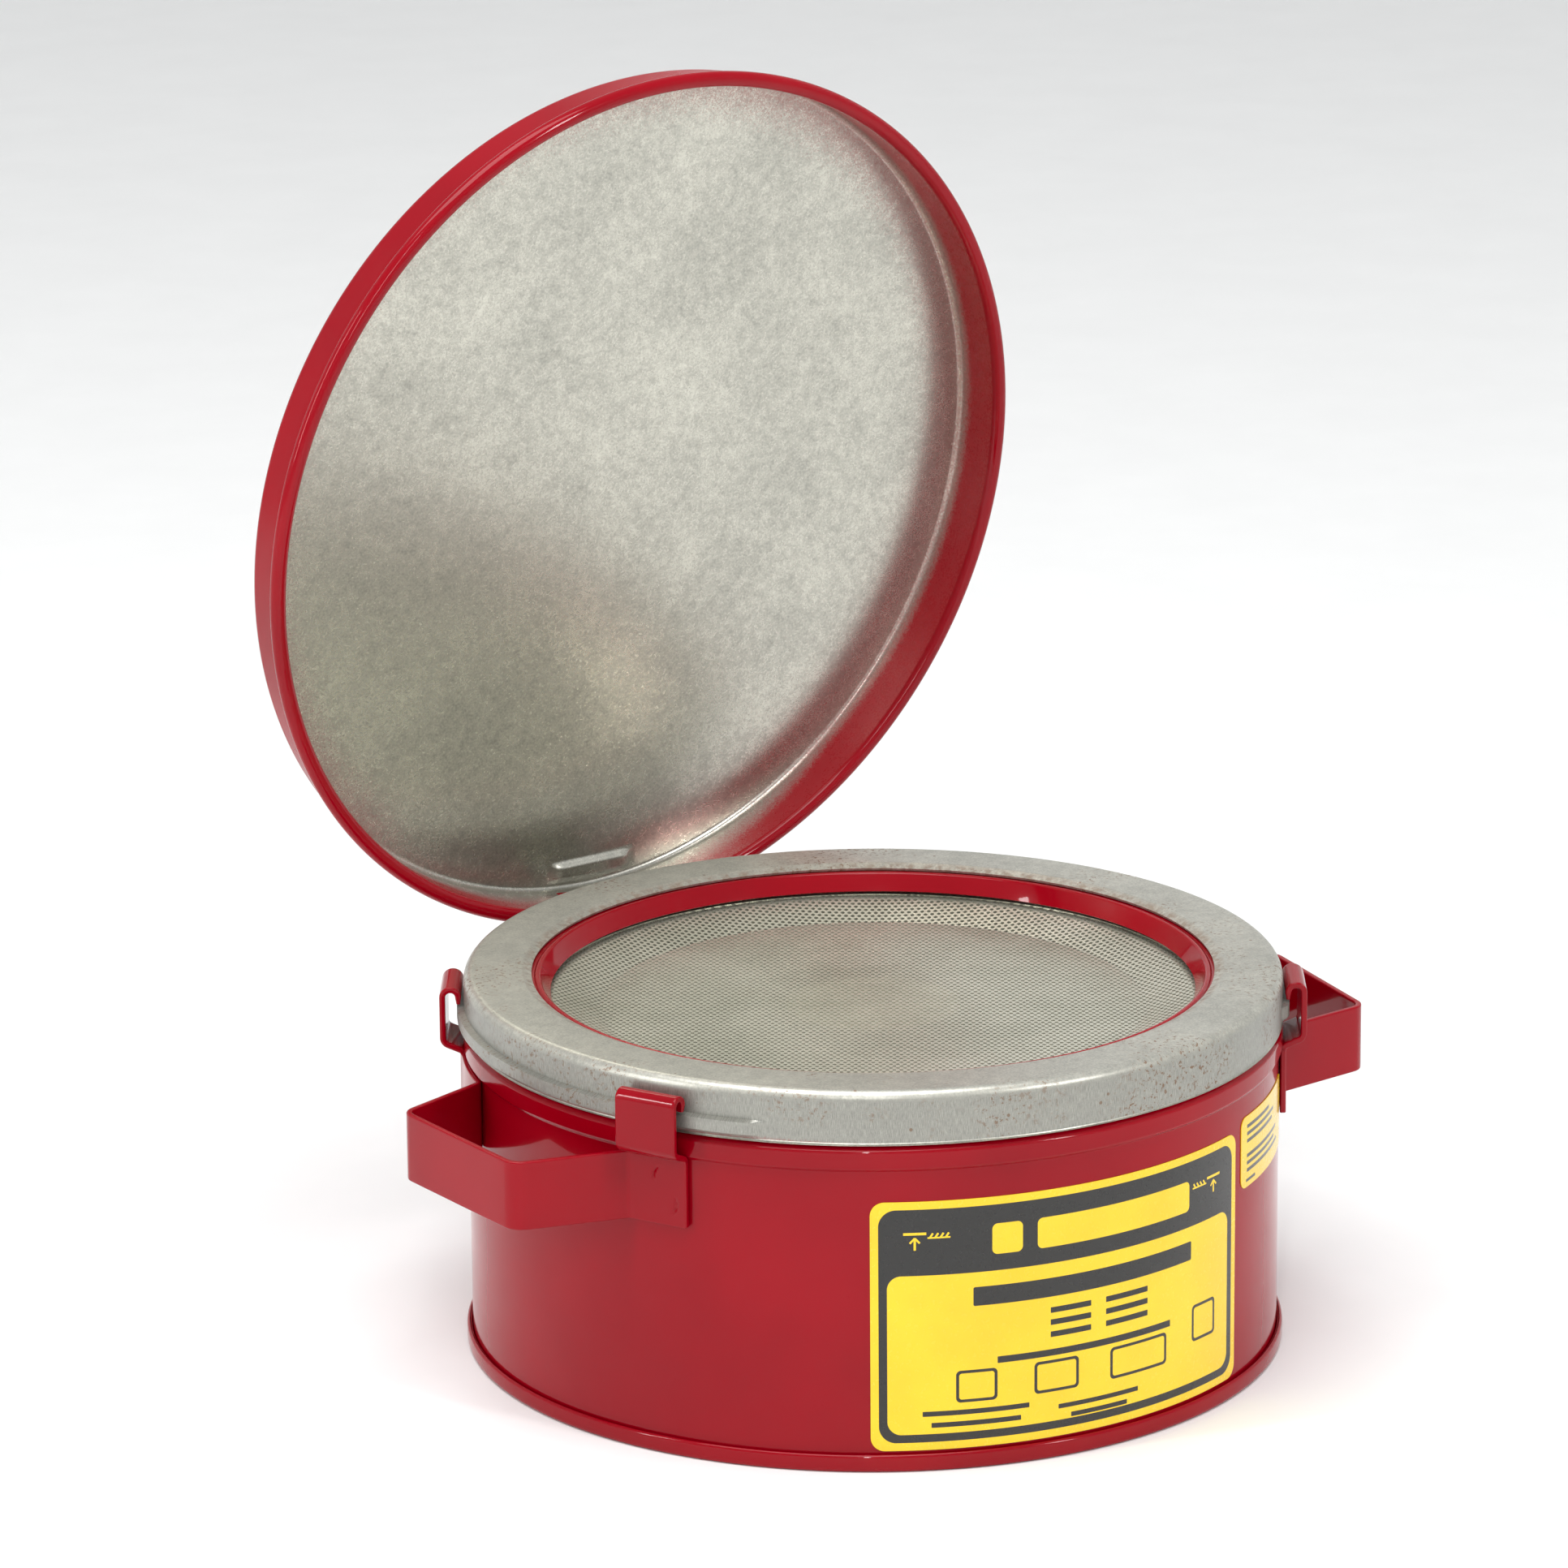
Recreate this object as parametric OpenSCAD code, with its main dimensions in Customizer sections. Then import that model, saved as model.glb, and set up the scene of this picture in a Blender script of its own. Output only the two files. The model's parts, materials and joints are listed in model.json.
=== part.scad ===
// Bench-top parts washer can: a round steel tank with a clipped-on cover ring, a hinged
// dished lid and a spring-carried perforated dasher that is pressed down to wet the parts.
// Frame: origin at the centre of the base, +Z up, main label to -Y, handles at -X and +X.

/* [Can] */
// Outside radius of the can's wall
wall_r = 118.1; // [116.5:0.1:118.3]
// Thickness of every drawn sheet-steel part
sheet = 0.8; // [0.6:0.1:0.9]
// Outside radius of the rolled bottom seam
seam_r = 119.9; // [119.5:0.1:122]
// Height of the rolled bottom seam
seam_h = 5.2; // [4.5:0.1:6]
// Outside radius of the swelled band below the cover
swell_r = 119.2; // [118.6:0.1:119.4]
// Outside radius of the neck that the cover goes over
neck_r = 117.6; // [116:0.1:117.7]
// Height at the top of the neck's rolled edge
mouth_z = 110.1; // [109.5:0.1:110.1]

/* [Handles] */
// Thickness of the handle strap
strap_t = 1.75; // [1.4:0.05:1.9]
// Height of the strap's lower edge
strap_z = 68.5; // [40:0.5:70]
// Width of the strap
strap_w = 20; // [16:0.5:20]
// Distance of the grip's rear corner from the can's axis plane
grip_rear_x = 147; // [140:1:155]
// Distance of the grip's front corner from the can's axis plane
grip_front_x = 142; // [136:1:150]
// Width of each hold-down clip, along the wall
clip_w = 19.4; // [14:0.2:22]

/* [Cover] */
// Angle of the cover about the can, anticlockwise from above
cover_turn = 7.5; // [-25:0.5:25]
// Outside radius of the cover ring
cover_r = 119; // [118.9:0.05:119.1]
// Height of the cover ring's top face
cover_top = 112.1; // [112:0.1:112.4]
// Radius of the cover ring's opening
opening_r = 98.9; // [98.5:0.1:99.5]
// Radius of the red collar's lower lip
collar_lip_r = 93.7; // [93:0.1:94.5]
// How far the hold-down beads stand out of the skirt
bead_depth = 2; // [1:0.1:2.3]
// Angle that each hold-down bead covers
bead_span = 82; // [60:1:90]

/* [Lid] */
// Angle that the lid stands open at rest
lid_open = 81.8; // [0:0.1:91]
// Outside radius of the lid's wall
lid_r = 130.1; // [130.1:0.1:130.4]
// Inside depth of the lid below its rim plane
lid_depth = 18; // [17.5:0.1:18.4]
// Radius of the lid's rolled rim, outside
rim_r = 133.9; // [133.5:0.1:135]
// Distance of the hinge's axis from the can's axis
hinge_r = 130; // [130:0.1:130.2]
// Height of the hinge's axis
hinge_z = 100; // [99.8:0.1:100.2]

/* [Dasher] */
// Radius of the dasher's flat floor
floor_r = 79.5; // [70:0.5:85]
// Height of the dasher's floor, top face
floor_z = 100; // [98:0.5:100.5]
// Radius of the dasher over its edge binding
dasher_r = 106.5; // [100:0.5:110]
// Diameter of the spring's wire
wire_d = 2.6; // [2:0.1:3]
// Mean radius of the spring's lowest coil
coil_low_r = 40; // [34:1:44]
// Mean radius of the spring's highest coil
coil_high_r = 20; // [16:1:24]
// Number of coils in the spring
coils = 6; // [4:1:8]

/* [Hidden] */
$fn = 96;

enamel_red = "#a8141c";
zinc_grey = "#a9ada6";
label_yellow = "#f2c81e";
rubber_black = "#26262a";
spring_grey = "#8d9094";

bend_steps = 6;          // straight pieces in each bend of a sheet
half_sheet = sheet / 2;
panel_z = 5;             // top face of the can's recessed bottom panel
seam_gap = 0.05;         // free play of the wall's edge inside the seam

strap_top = strap_z + strap_w;
foot_r = wall_r + 0.05 + strap_t / 2;  // middle of the strap where it lies on the wall
clip_span = clip_w / wall_r * 180 / PI;
clip_front_az = 60.5;    // azimuth of the front clips, from the label's middle
clip_rear_az = 120;      // azimuth of the rear clips
foot_rear_az = 102;      // where the strap comes back to the wall
grip_rear_y = 12;
grip_front_y = -44;
grip_bend_r = 5;
clip_out_r = 124.9;      // middle of the clip's outer leg
clip_tip_r = cover_r + 0.4 + strap_t / 2;  // middle of the clip's tip
clip_top_z = 107.4;
clip_tip_z = 103.1;

skirt_z = 96.2;          // lower edge of the cover's skirt
bead_top_z = 102.5;
bead_az = 86.5;          // azimuth of the right-hand bead in the cover's own frame

rim_plane_z = cover_top + 0.3 - lid_depth;  // rim plane of the closed lid
curl_r = (rim_r - lid_r + half_sheet) / 2;  // middle line of the rolled rim
knuckle_r = 2.6;
pin_r = 1.5;
running_fit = 0.07;      // radial clearance of the lid's knuckle on the pin
leaf_t = 1.4;            // thickness of both hinge leaves
leaf_w = 25.2;           // width of both hinge leaves
lid_knuckle_w = 9.2;     // width of the lid's middle knuckle
knuckle_gap = 0.3;
slot_w = 28.5;           // slot in the lid's wall round the hinge
slot_low_z = hinge_z - knuckle_r - 0.4;
slot_high_z = hinge_z + 9.4;

// Unit vector along v.
function unit(v) = v / norm(v);

// Points of a bend of radius r at corner p, between the straights towards a and b.
function bend(p, a, b, r) =
    let (
        to_a = unit(a - p),
        to_b = unit(b - p),
        half = acos(to_a * to_b) / 2,
        first = p + to_a * r / tan(half),
        last = p + to_b * r / tan(half),
        centre = p + unit(to_a + to_b) * r / sin(half)
    )
    [for (i = [0:bend_steps]) centre + r * unit(first + (last - first) * i / bend_steps - centre)];

// A bent line through the corners, with bend radii given for the inner corners.
function bent_line(corners, radii) = concat(
    [corners[0]],
    [for (i = [1:len(corners) - 2]) each bend(corners[i], corners[i - 1], corners[i + 1], radii[i - 1])],
    [corners[len(corners) - 1]]
);

// The line moved sideways by d, to its left.
function beside(line, d) = [
    for (i = [0:len(line) - 1])
        let (along = unit(line[min(i + 1, len(line) - 1)] - line[max(i - 1, 0)]))
        line[i] + d * [-along.y, along.x]
];

function reversed(list) = [for (i = [len(list) - 1:-1:0]) list[i]];

// Section of a sheet of thickness t along its middle line.
module sheet_section(line, t) {
    polygon(concat(beside(line, t / 2), reversed(beside(line, -t / 2))));
}

// A drawn sheet part: the section turned about the axis.
module spun_sheet(line, t = sheet) {
    rotate_extrude() sheet_section(line, t);
}

// A section turned through part of a circle, centred at an azimuth (0 is the front, -Y).
module sector(azimuth, span) {
    rotate([0, 0, azimuth - 90 - span / 2]) rotate_extrude(angle = span) children();
}

// Places a piece of the cover, which is turned on the can.
module on_cover() {
    rotate([0, 0, cover_turn]) children();
}

// Places a piece of the lid, modelled closed with its hinge at +Y.
module on_lid() {
    on_cover()
        translate([0, hinge_r, hinge_z])
        rotate([-lid_open, 0, 0])
        translate([0, -hinge_r, -hinge_z])
        children();
}

// A plate of the hinge: a (y, z) outline with the given width along X.
module cross_plate(width) {
    rotate([90, 0, 90]) linear_extrude(width, center = true) children();
}

// A round bar along the hinge's axis.
module hinge_bar(r, width, x = 0) {
    translate([x, hinge_r, hinge_z]) rotate([0, 90, 0]) cylinder(r = r, h = width, center = true);
}

module can_shell() {
    wall_line = [
        [wall_r - half_sheet, panel_z - 4.05],
        [wall_r - half_sheet, 88.9],
        [swell_r - half_sheet, 90.1],
        [swell_r - half_sheet, 94.3],
        [neck_r - half_sheet, 95.7],
        [neck_r - half_sheet, mouth_z - 2.4]
    ];
    edge_r = 1.5;
    color(enamel_red) {
        spun_sheet(bent_line(wall_line, [1, 1, 1, 1]));
        rotate_extrude()
            translate([neck_r - edge_r, mouth_z - edge_r])
            difference() {
                circle(r = edge_r, $fn = 32);
                translate([-edge_r, -2 * edge_r]) square([2 * edge_r - sheet, 1.3 * edge_r]);
            }
    }
}

module can_bottom() {
    outline = [
        [0, panel_z - sheet],
        [116.5, panel_z - sheet],
        [116.5, 0.4],
        [116.9, 0],
        [seam_r - 0.5, 0],
        [seam_r, 0.5],
        [seam_r, seam_h - 0.4],
        [seam_r - 0.4, seam_h],
        [wall_r + seam_gap, seam_h],
        [wall_r + seam_gap, 0.9],
        [wall_r - sheet - seam_gap, 0.9],
        [wall_r - sheet - seam_gap, panel_z - 0.6],
        [116.7, panel_z],
        [0, panel_z]
    ];
    color(enamel_red) rotate_extrude() polygon(outline);
}

// Point on the middle of a strap that lies on the wall, at an azimuth on the right-hand side.
function wall_point(azimuth) = foot_r * [sin(azimuth), -cos(azimuth)];

// Ends of the flat foot under a clip, moved along the wall's tangent by the given distance.
function foot_point(azimuth, along) = wall_point(azimuth) + along * [cos(azimuth), sin(azimuth)];

// A clip: its (radius, height) section drawn across the flat foot at an azimuth.
module hold_down_clip(azimuth) {
    clip_line = bent_line(
        [
            [foot_r, strap_z + 6],
            [foot_r, strap_top + 0.3],
            [clip_out_r, strap_top + 2.8],
            [clip_out_r, clip_top_z],
            [clip_tip_r, clip_top_z],
            [clip_tip_r, clip_tip_z]
        ],
        [1.5, 2.4, 1.9, 1.9]
    );
    rotate([0, 0, azimuth - 180]) cross_plate(clip_w) sheet_section(clip_line, strap_t);
}

// A handle: strap, two feet on the wall and two hold-down clips in one piece; side is 1 for
// the right-hand handle and -1 for the left-hand one.
module handle(side) {
    rear_arc_step = 2.5;
    strap_line = concat(
        bent_line(
            [
                foot_point(clip_front_az, -clip_w / 2),
                foot_point(clip_front_az, clip_w / 2),
                [grip_front_x, grip_front_y],
                [grip_rear_x, grip_rear_y],
                wall_point(foot_rear_az)
            ],
            [1.5, grip_bend_r, grip_bend_r]
        ),
        [
            for (azimuth = [foot_rear_az + rear_arc_step:rear_arc_step:clip_rear_az - clip_span / 2])
                wall_point(azimuth)
        ],
        [
            foot_point(clip_rear_az, -clip_w / 2),
            foot_point(clip_rear_az, clip_w / 2)
        ]
    );
    side_line = [for (point = strap_line) [side * point.x, point.y]];
    translate([0, 0, strap_z]) linear_extrude(strap_w) sheet_section(side_line, strap_t);
    for (azimuth = [clip_front_az, clip_rear_az])
        hold_down_clip(side * azimuth);
}

module handle_right() {
    color(enamel_red) handle(1);
}

module handle_left() {
    color(enamel_red) handle(-1);
}

// A sticker on the wall: width along the wall, centred at an azimuth, with square corners.
module sticker(azimuth, width, low_z, height) {
    film = 0.3;
    sector(azimuth, width / wall_r * 180 / PI) translate([wall_r, low_z]) square([film, height]);
}

module main_label() {
    color(label_yellow) sticker(0, 126.1, 6, 73.6);
}

module side_label() {
    color(label_yellow) sticker(43.7, 46.5, 60.6, 21.4);
}

module spring_seat() {
    color(zinc_grey)
        spun_sheet(bent_line(
            [
                [coil_low_r - 8, panel_z + half_sheet],
                [coil_low_r + 6, panel_z + half_sheet],
                [coil_low_r + 6, panel_z + 6]
            ],
            [1.2]
        ));
}

module cover_ring() {
    skirt_line = [
        [cover_r - half_sheet, skirt_z + 0.3],
        [cover_r - half_sheet, cover_top - half_sheet],
        [opening_r + 3.1, cover_top - half_sheet],
        [opening_r + 0.45, cover_top - 1.45]
    ];
    bead_section = [
        [cover_r - 0.2, skirt_z + 0.8],
        [cover_r + 0.6 * bead_depth, skirt_z + 1],
        [cover_r + bead_depth, skirt_z + 2.2],
        [cover_r + bead_depth, bead_top_z - 0.7],
        [cover_r + 0.8 * bead_depth, bead_top_z],
        [cover_r - 0.2, bead_top_z]
    ];
    color(zinc_grey) on_cover() {
        spun_sheet(bent_line(skirt_line, [2.6, 1.5]));
        rotate_extrude() translate([cover_r - sheet, skirt_z]) square([sheet + 0.3, 1.2]);
        for (azimuth = [bead_az, bead_az - 180])
            sector(azimuth, bead_span) polygon(bead_section);
    }
}

module dasher_collar() {
    lip_z = 105.3;
    collar_line = [
        [111.8, cover_top - sheet - half_sheet],
        [107.2, cover_top - sheet - half_sheet],
        [105.4, 109.6],
        [opening_r - 0.5, 109.6],
        [opening_r - 1.8, 110.4],
        [collar_lip_r + 0.35, lip_z]
    ];
    color(enamel_red) on_cover() spun_sheet(bent_line(collar_line, [0.8, 0.8, 0.6, 0.7]));
}

// Flat ring between the can's mouth and the cover, bevelled to clear the cover's round corner.
module cover_gasket() {
    gasket_t = 0.95;
    bevel = 0.4;
    inner_r = neck_r - 5.2;
    outer_r = neck_r - 0.7;
    roof_z = cover_top - sheet;
    color(rubber_black)
        on_cover()
        rotate_extrude()
        polygon([
            [inner_r, roof_z - gasket_t],
            [outer_r, roof_z - gasket_t],
            [outer_r, roof_z - bevel],
            [outer_r - 2.3 * bevel, roof_z],
            [inner_r, roof_z]
        ]);
}

module ring_hinge_leaf() {
    flange_span = leaf_w / cover_r * 180 / PI;
    color(zinc_grey) on_cover()
        difference() {
            union() {
                sector(180, flange_span)
                    translate([cover_r, skirt_z + 1.4]) square([leaf_t, 11]);
                cross_plate(leaf_w)
                    translate([cover_r + 0.6, hinge_z + knuckle_r - leaf_t])
                    square([hinge_r - cover_r - 0.6, leaf_t]);
                hinge_bar(knuckle_r, leaf_w);
            }
            hinge_bar(pin_r, leaf_w + 1);
            translate([0, hinge_r, hinge_z])
                cube([lid_knuckle_w + 2 * knuckle_gap, 2 * knuckle_r + 1.2, 8], center = true);
        }
}

module hinge_pin() {
    head_r = 2.2;
    color(zinc_grey) on_cover() {
        hinge_bar(pin_r, leaf_w + 1);
        for (side = [-1, 1])
            hinge_bar(head_r, 0.8, side * (leaf_w / 2 + 0.4));
    }
}

module lid_pan() {
    wall_mid = lid_r - half_sheet;
    curl_z = rim_plane_z + curl_r + half_sheet;
    disc_line = bent_line(
        [
            [0, rim_plane_z + lid_depth + half_sheet],
            [wall_mid, rim_plane_z + lid_depth + half_sheet],
            [wall_mid, curl_z]
        ],
        [2.6]
    );
    curl_line = [
        for (angle = [195:15:480])
            [wall_mid + curl_r, curl_z] + curl_r * [cos(angle), sin(angle)]
    ];
    color(enamel_red) on_lid()
        difference() {
            spun_sheet(concat(disc_line, curl_line));
            translate([0, hinge_r + 2, (slot_low_z + slot_high_z) / 2])
                cube([slot_w, 10, slot_high_z - slot_low_z], center = true);
        }
}

module lid_hinge_leaf() {
    disc_top = rim_plane_z + lid_depth + sheet;
    plate_y = hinge_r + knuckle_r - leaf_t / 2;
    leaf_line = bent_line(
        [
            [112, disc_top + leaf_t / 2],
            [plate_y, disc_top + leaf_t / 2],
            [plate_y, hinge_z]
        ],
        [1.9]
    );
    neck_z = hinge_z + 3.8;
    color(zinc_grey) on_lid()
        difference() {
            union() {
                difference() {
                    cross_plate(leaf_w) sheet_section(leaf_line, leaf_t);
                    for (side = [-1, 1])
                        translate([side * (lid_knuckle_w + leaf_w) / 2, hinge_r, neck_z - 10])
                            cube([leaf_w, 20, 20], center = true);
                }
                hinge_bar(knuckle_r, lid_knuckle_w);
            }
            hinge_bar(pin_r + running_fit, lid_knuckle_w + 1);
        }
}

module dasher_dish() {
    dish_line = [
        [0, floor_z - half_sheet],
        [floor_r, floor_z - half_sheet],
        [92.8, floor_z + 3.2],
        [dasher_r - 1.2, floor_z + 3.5]
    ];
    color(zinc_grey) spun_sheet(bent_line(dish_line, [4, 3]));
}

module dasher_rim() {
    binding_h = 3;
    mid_z = floor_z + 3.5;
    slot_r = dasher_r - 1.15;
    color(zinc_grey)
        rotate_extrude()
        difference() {
            translate([dasher_r - 3.6, mid_z - binding_h / 2]) square([3.6, binding_h]);
            translate([dasher_r - 4, mid_z - half_sheet - 0.05])
                square([slot_r - dasher_r + 4, sheet + 0.1]);
        }
}

module spring_cup() {
    plate_z = floor_z - sheet - half_sheet;
    color(zinc_grey)
        spun_sheet(bent_line(
            [[0, plate_z], [coil_high_r + 6, plate_z], [coil_high_r + 6, plate_z - 6]],
            [1.4]
        ));
}

// Height of the spring's wire after a share of its turns: the end coils lie flat.
function coil_height(turn, low_z, high_z) =
    let (share = max(0, min(1, (turn - 0.8) / (coils - 1.6))))
    low_z + (high_z - low_z) * share;

// A cone-shaped coil spring, swept as rings of the wire's section.
module dasher_spring() {
    ring_sides = 8;
    rings_per_turn = 22;
    rings = coils * rings_per_turn;
    low_z = panel_z + sheet + wire_d / 2;
    coil_gap = 0.08;
    high_z = floor_z - 2 * sheet - wire_d / 2 - coil_gap;
    points = [
        for (i = [0:rings])
            let (
                turn = i / rings_per_turn,
                mean_r = coil_low_r + (coil_high_r - coil_low_r) * i / rings,
                z = coil_height(turn, low_z, high_z)
            )
            for (j = [0:ring_sides - 1])
                let (
                    r = mean_r + wire_d / 2 * cos(360 * j / ring_sides),
                    lift = wire_d / 2 * sin(360 * j / ring_sides)
                )
                [r * cos(360 * turn), r * sin(360 * turn), z + lift]
    ];
    sides = [
        for (i = [0:rings - 1], j = [0:ring_sides - 1])
            let (
                a = i * ring_sides + j,
                b = i * ring_sides + (j + 1) % ring_sides
            )
            [a, b, b + ring_sides, a + ring_sides]
    ];
    start_cap = [for (j = [ring_sides - 1:-1:0]) j];
    end_cap = [for (j = [0:ring_sides - 1]) rings * ring_sides + j];
    color(spring_grey) polyhedron(points, concat(sides, [start_cap, end_cap]));
}

can_shell();
can_bottom();
handle_left();
handle_right();
main_label();
side_label();
spring_seat();
cover_ring();
dasher_collar();
cover_gasket();
ring_hinge_leaf();
hinge_pin();
lid_pan();
lid_hinge_leaf();
dasher_dish();
dasher_rim();
spring_cup();
dasher_spring();
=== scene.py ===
"""Looks of the bench-top parts washer can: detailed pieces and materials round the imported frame."""

import json
import math

import bmesh
import bpy
from mathutils import Matrix, Quaternion, Vector


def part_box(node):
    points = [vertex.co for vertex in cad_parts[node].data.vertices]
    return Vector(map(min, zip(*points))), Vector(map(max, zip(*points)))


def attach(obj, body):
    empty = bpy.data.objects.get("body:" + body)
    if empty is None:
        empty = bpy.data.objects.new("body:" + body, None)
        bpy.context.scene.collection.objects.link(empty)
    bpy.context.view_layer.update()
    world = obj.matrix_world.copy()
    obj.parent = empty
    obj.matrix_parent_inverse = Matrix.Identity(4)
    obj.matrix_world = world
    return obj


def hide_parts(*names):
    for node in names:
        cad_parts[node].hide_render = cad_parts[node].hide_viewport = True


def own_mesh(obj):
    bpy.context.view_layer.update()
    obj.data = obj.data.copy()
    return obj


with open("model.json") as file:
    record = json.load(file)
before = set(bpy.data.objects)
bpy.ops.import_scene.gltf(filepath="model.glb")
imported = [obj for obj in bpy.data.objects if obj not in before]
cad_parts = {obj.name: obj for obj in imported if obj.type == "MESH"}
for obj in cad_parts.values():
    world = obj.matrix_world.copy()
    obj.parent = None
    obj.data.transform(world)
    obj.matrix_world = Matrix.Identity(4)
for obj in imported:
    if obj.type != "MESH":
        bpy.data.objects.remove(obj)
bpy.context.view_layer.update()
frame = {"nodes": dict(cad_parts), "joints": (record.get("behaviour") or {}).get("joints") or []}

MM = 0.001
joints = {joint["name"]: joint for joint in frame["joints"]}


# ---------------------------------------------------------------- sizes, in millimetres

def node_box(node):
    low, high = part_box(node)
    return low / MM, high / MM


def half_width(node):
    low, high = node_box(node)
    return (high.x - low.x) / 2


def top(node):
    return node_box(node)[1].z


def bottom(node):
    return node_box(node)[0].z


SHEET = 0.8
HALF = SHEET / 2
SWELL_R = half_width("can_shell")
WALL_R = SWELL_R - 1.1
NECK_R = SWELL_R - 1.6
MOUTH_Z = top("can_shell")
SEAM_R = half_width("can_bottom") - 0.1
SEAM_H = top("can_bottom")
SEAM_IN = 116.9
PANEL_Z = 5.0
PANEL_DROP = 1.6
WALL_END, SWELL_START, SWELL_END, NECK_START = 88.7, 89.7, 94.4, 95.7

RING_TOP = top("cover_ring")
SKIRT_Z = bottom("cover_ring")
RING_R = 119.0
OPENING_R = 98.9
BEAD_OUT = half_width("cover_ring") - RING_R
BEAD_TOP = 102.5
BEAD_HIGH = BEAD_TOP + 0.2
BEAD_LOW = SKIRT_Z + 1.0
BEAD_AZ = 86.5
BEAD_HALF_SPAN = 41.0
COLLAR_R = 111.8
COLLAR_SHELF_R = 105.4
COLLAR_SHELF_Z = 109.6
GASKET_IN = 112.4
# Less than the CAD's radius, to stay clear of the ring's round corner.
GASKET_OUT = half_width("cover_gasket") - 0.7
GASKET_T = 0.9

HINGE = Vector(joints["lid_hinge"]["pos_m"]) / MM
HINGE_AXIS = Vector(joints["lid_hinge"]["axis"])
HINGE_R = math.hypot(HINGE.x, HINGE.y)
HINGE_Z = HINGE.z
COVER_TURN = math.atan2(-HINGE_AXIS.y, -HINGE_AXIS.x)
LID_OPEN = -math.radians(joints["lid_hinge"]["range_deg"][0])
LID_WALL = 129.7
LID_FLOOR = RING_TOP + 0.3
LID_DEPTH = 18.0
RIM_Z = LID_FLOOR - LID_DEPTH
CURL_R = 1.9
POCKET_HALF = 15.0
POCKET_IN = RING_R + 0.6
POCKET_OUT = 126.4
POCKET_DEPTH = 1.5

FLOOR_R = 79.5
SLOPE_END_R = 92.8
DISH_Z = top("dasher_rim") - 5.4
DISH_EDGE = 3.9
DASHER_R = half_width("dasher_rim")
HOLE_PITCH = 2.0
HOLE_R = 0.64
PERFORATED_R = 101.0

STRAP_Z = bottom("handle_right")
STRAP_W = 20.0
STRAP_T = 1.75

COVER_PLACE = Matrix.Rotation(COVER_TURN, 4, "Z")
LID_PLACE = (
    COVER_PLACE
    @ Matrix.Translation((0, HINGE_R * MM, HINGE_Z * MM))
    @ Matrix.Rotation(-LID_OPEN, 4, "X")
    @ Matrix.Translation((0, -HINGE_R * MM, -HINGE_Z * MM))
)


# ---------------------------------------------------------------- plane lines and outlines

def bend(corner, before, after, radius, steps):
    """Points of a round bend at a corner of a line."""
    to_before = (before - corner).normalized()
    to_after = (after - corner).normalized()
    half = to_before.angle(to_after) / 2
    reach = radius / math.tan(half)
    centre = corner + (to_before + to_after).normalized() * radius / math.sin(half)
    start = corner + to_before * reach - centre
    turn = (corner + to_after * reach - centre).angle_signed(start)
    return [centre + Matrix.Rotation(turn * i / steps, 2) @ start for i in range(steps + 1)]


def bent_line(corners, radii, steps=8):
    """A line through the corners, with round bends at the inner ones."""
    corners = [Vector(c) for c in corners]
    points = [corners[0]]
    for i, radius in enumerate(radii, start=1):
        points += bend(corners[i], corners[i - 1], corners[i + 1], radius, steps)
    return points + [corners[-1]]


def ease(share):
    """Soft step from 0 to 1."""
    return share * share * (3 - 2 * share)


def beside(line, distance):
    """The line moved to its left."""
    moved = []
    for i, point in enumerate(line):
        along = (line[min(i + 1, len(line) - 1)] - line[max(i - 1, 0)]).normalized()
        moved.append(point + distance * Vector((-along.y, along.x)))
    return moved


# ---------------------------------------------------------------- mesh pieces

def finish_piece(name, mesh, materials, sharp=40, place=None):
    for material in materials:
        mesh.materials.append(material)
    mesh.polygons.foreach_set("use_smooth", [True] * len(mesh.polygons))
    mesh.set_sharp_from_angle(angle=math.radians(sharp))
    piece = bpy.data.objects.new(name, mesh)
    bpy.context.scene.collection.objects.link(piece)
    if place is not None:
        piece.matrix_world = place
    return piece


def put(piece, body, slot, *nodes):
    """Rides the piece on its body instead of the CAD nodes. The slot, its finish's name, is not used.
    """
    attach(piece, body)
    if nodes:
        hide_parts(*nodes)
    return piece


def spin(name, line, materials, thickness=SHEET, segments=240,
         shape=None, slot_of=None, **options):
    """A sheet turned about the axis. shape moves points; slot_of picks a face's material."""
    left = beside(line, thickness / 2)
    right = beside(line, -thickness / 2)
    outline = left + right[::-1]
    count = len(outline)
    verts = []
    for i in range(segments):
        angle = 2 * math.pi * i / segments
        for r, z in outline:
            r = max(r, 0.0)
            point = Vector((r * math.cos(angle), r * math.sin(angle), z))
            verts.append((shape(point, r, angle) if shape else point) * MM)
    faces = []
    slots = []
    for i in range(segments):
        j = (i + 1) % segments
        for k in range(count):
            n = (k + 1) % count
            faces.append((i * count + k, i * count + n, j * count + n, j * count + k))
            middle = (outline[k] + outline[n]) / 2
            slots.append(slot_of(middle, k < len(line)) if slot_of else 0)
    mesh = bpy.data.meshes.new(name)
    mesh.from_pydata(verts, [], faces)
    mesh.polygons.foreach_set("material_index", slots)
    tidy_mesh(mesh)
    return finish_piece(name, mesh, materials, **options)


def tidy_mesh(mesh):
    """Joins points on the axis and turns all faces outwards."""
    work = bmesh.new()
    work.from_mesh(mesh)
    bmesh.ops.remove_doubles(work, verts=work.verts, dist=1e-7)
    bmesh.ops.dissolve_degenerate(work, dist=1e-8, edges=work.edges)
    bmesh.ops.recalc_face_normals(work, faces=work.faces)
    work.to_mesh(mesh)
    work.free()


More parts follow.
